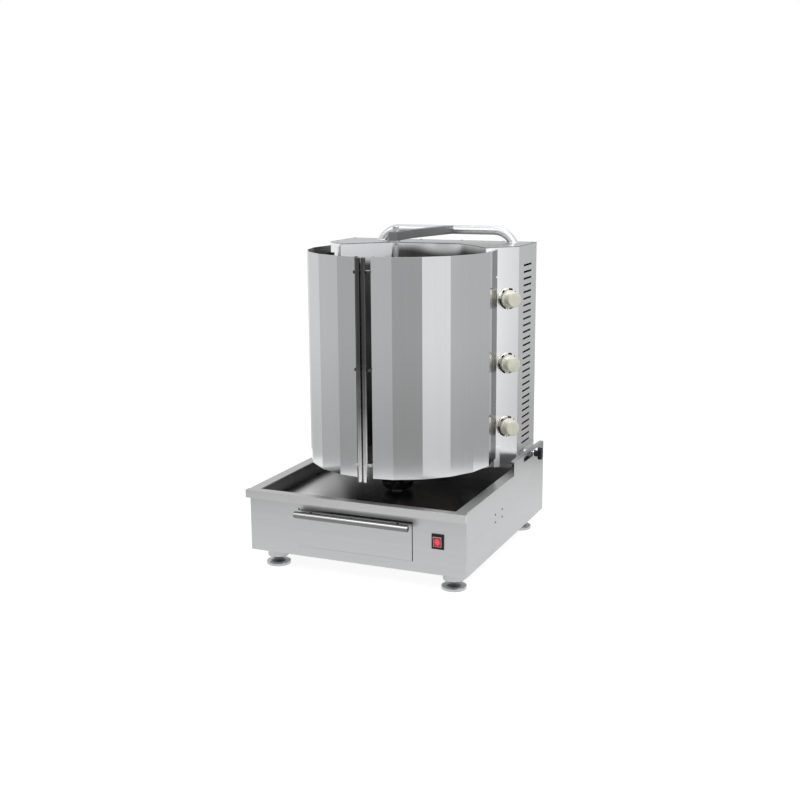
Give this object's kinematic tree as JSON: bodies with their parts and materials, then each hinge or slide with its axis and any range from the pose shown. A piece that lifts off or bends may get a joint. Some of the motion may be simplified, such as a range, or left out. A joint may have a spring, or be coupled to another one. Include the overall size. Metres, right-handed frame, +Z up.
{
  "type": "gas doner kebab grill",
  "caption": "Table-top gas grill for doner meat: square base with grease drawer, sliding burner tower with curved doors, motor-driven upright spit.",
  "frame": {"origin": "middle of the whole object's footprint, on the worktop under the feet", "axes": "+Z up, front with drawer and doors faces -Y, control knobs on +X"},
  "size_m": [0.5256, 0.546, 0.7101],
  "materials": {
    "brushed_panel": "fine brushed, satin",
    "pan_steel": "smooth rolled sheet",
    "zinc_steel": "bright zinc",
    "dark_steel": "dark oxide",
    "motor_can": "painted can",
    "cast_housing": "die cast",
    "brass": "machined",
    "black_plastic": "moulded",
    "polished_chrome": "mirror",
    "red_plastic": "moulded, glossy",
    "polished_steel": "polished bar",
    "tower_steel": "fine brushed",
    "mirror_steel": "bright annealed",
    "aluminised_steel": "aluminised sheet",
    "ceramic": "porous ceramic",
    "dial_chrome": "polished",
    "copper_pipe": "drawn tube",
    "bracket_steel": "bright sheet",
    "satin_tube": "satin tube",
    "door_steel": "vertically brushed",
    "foot_chrome": "polished",
    "cream_plastic": "moulded, satin"
  },
  "bodies": {
    "base": {"base_casing": "brushed_panel", "base_floor": "brushed_panel", "drip_pan": "pan_steel", "rear_deck": "pan_steel", "foot_sockets": "zinc_steel", "foot_locknuts": "dark_steel", "drawer_runners": "zinc_steel", "spit_motor": "motor_can", "spit_gearbox": "cast_housing", "motor_bracket": "zinc_steel", "spit_bearing": "brass", "switch_body": "black_plastic", "cable_gland": "black_plastic"},
    "tower": {"side_panel_right": "tower_steel", "side_panel_left": "tower_steel", "recess_liner": "mirror_steel", "tower_top": "tower_steel", "tower_floor": "tower_steel", "back_panel": "tower_steel", "glide_runners": "black_plastic", "burner_housings": "aluminised_steel", "burner_tiles": "ceramic", "burner_guard": "polished_steel", "dial_plates": "dial_chrome", "manifold_pipe": "zinc_steel", "burner_pipes": "copper_pipe", "gas_inlet": "brass", "right_hinge_brackets": "bracket_steel", "left_hinge_brackets": "bracket_steel", "arch_tube": "satin_tube", "spit_arm": "satin_tube", "clamp_bolts": "zinc_steel", "gas_valve_1": "brass", "gas_valve_2": "brass", "gas_valve_3": "brass"},
    "drawer": {"drawer_front": "brushed_panel", "drawer_tray": "pan_steel", "drawer_handle": "polished_chrome"},
    "rocker": {"switch_rocker": "red_plastic"},
    "right_door": {"right_door": "door_steel", "right_door_handle": "polished_steel"},
    "left_door": {"left_door": "door_steel", "left_door_handle": "polished_steel"},
    "spit": {"drive_hub": "dark_steel", "spit_bar": "polished_steel", "meat_disc": "polished_steel"},
    "pin_slider": {"pin_slider": "polished_steel"},
    "centring_pin": {"centring_pin": "polished_steel"},
    "clamp_right": {"clamp_knob_right": "black_plastic"},
    "clamp_left": {"clamp_knob_left": "black_plastic"},
    "spindle_1": {"valve_spindle_1": "polished_steel"},
    "knob_1": {"gas_knob_1": "cream_plastic"},
    "spindle_2": {"valve_spindle_2": "polished_steel"},
    "knob_2": {"gas_knob_2": "cream_plastic"},
    "spindle_3": {"valve_spindle_3": "polished_steel"},
    "knob_3": {"gas_knob_3": "cream_plastic"},
    "foot_1": {"levelling_foot_1": "foot_chrome"},
    "foot_2": {"levelling_foot_2": "foot_chrome"},
    "foot_3": {"levelling_foot_3": "foot_chrome"},
    "foot_4": {"levelling_foot_4": "foot_chrome"}
  },
  "joints": [
    {"name": "tower_slide", "type": "slide", "parent": "base", "child": "tower", "axis": [0, -1, 0], "range_m": [-0.005, 0.05]},
    {"name": "drawer_slide", "type": "slide", "parent": "base", "child": "drawer", "axis": [0, -1, 0], "range_m": [0, 0.14]},
    {"name": "rocker_tilt", "type": "hinge", "parent": "base", "child": "rocker", "pos_m": [0.1826, -0.246, 0.1085], "axis": [-1, 0, 0], "range_deg": [0, 16]},
    {"name": "right_door_swing", "type": "hinge", "parent": "tower", "child": "right_door", "pos_m": [0.19191, 0.06029, 0.43], "axis": [0, 0, 1], "range_deg": [0, 75]},
    {"name": "left_door_swing", "type": "hinge", "parent": "tower", "child": "left_door", "pos_m": [-0.19191, 0.06029, 0.43], "axis": [0, 0, -1], "range_deg": [0, 100]},
    {"name": "spit_spin", "type": "hinge", "parent": "base", "child": "spit", "pos_m": [0, -0.0245, 0.15], "axis": [0, 0, 1], "continuous": true},
    {"name": "pin_shift", "type": "slide", "parent": "tower", "child": "pin_slider", "axis": [0, -1, 0], "range_m": [-0.05, 0.005]},
    {"name": "pin_pull", "type": "slide", "parent": "pin_slider", "child": "centring_pin", "axis": [0, 0, 1], "range_m": [0, 0.012]},
    {"name": "clamp_right_turn", "type": "hinge", "parent": "tower", "child": "clamp_right", "pos_m": [0.2425, 0.1895, 0.192], "axis": [1, 0, 0], "range_deg": [-180, 180]},
    {"name": "clamp_left_turn", "type": "hinge", "parent": "tower", "child": "clamp_left", "pos_m": [-0.2425, 0.1895, 0.192], "axis": [-1, 0, 0], "range_deg": [-180, 180]},
    {"name": "knob_1_push", "type": "slide", "parent": "tower", "child": "spindle_1", "axis": [-0.7593, 0.6508, 0], "range_m": [0, 0.003], "stiffness_N_per_m": 1500, "springref_m": -0.001},
    {"name": "knob_1_turn", "type": "hinge", "parent": "spindle_1", "child": "knob_1", "pos_m": [0.22337, 0.08469, 0.2715], "axis": [0.7593, -0.6508, 0], "range_deg": [0, 210]},
    {"name": "knob_2_push", "type": "slide", "parent": "tower", "child": "spindle_2", "axis": [-0.7593, 0.6508, 0], "range_m": [0, 0.003], "stiffness_N_per_m": 1500, "springref_m": -0.001},
    {"name": "knob_2_turn", "type": "hinge", "parent": "spindle_2", "child": "knob_2", "pos_m": [0.22337, 0.08469, 0.412], "axis": [0.7593, -0.6508, 0], "range_deg": [0, 210]},
    {"name": "knob_3_push", "type": "slide", "parent": "tower", "child": "spindle_3", "axis": [-0.7593, 0.6508, 0], "range_m": [0, 0.003], "stiffness_N_per_m": 1500, "springref_m": -0.001},
    {"name": "knob_3_turn", "type": "hinge", "parent": "spindle_3", "child": "knob_3", "pos_m": [0.22337, 0.08469, 0.5525], "axis": [0.7593, -0.6508, 0], "range_deg": [0, 210]},
    {"name": "foot_1_turn", "type": "hinge", "parent": "base", "child": "foot_1", "pos_m": [-0.201, -0.2045, 0.02], "axis": [0, 0, 1], "range_deg": [-180, 180]},
    {"name": "foot_2_turn", "type": "hinge", "parent": "base", "child": "foot_2", "pos_m": [0.201, -0.2045, 0.02], "axis": [0, 0, 1], "range_deg": [-180, 180]},
    {"name": "foot_3_turn", "type": "hinge", "parent": "base", "child": "foot_3", "pos_m": [-0.201, 0.2255, 0.02], "axis": [0, 0, 1], "range_deg": [-180, 180]},
    {"name": "foot_4_turn", "type": "hinge", "parent": "base", "child": "foot_4", "pos_m": [0.201, 0.2255, 0.02], "axis": [0, 0, 1], "range_deg": [-180, 180]}
  ],
  "couplings": [
    {"joint": "pin_shift", "follows": "tower_slide", "ratio": -1}
  ]
}
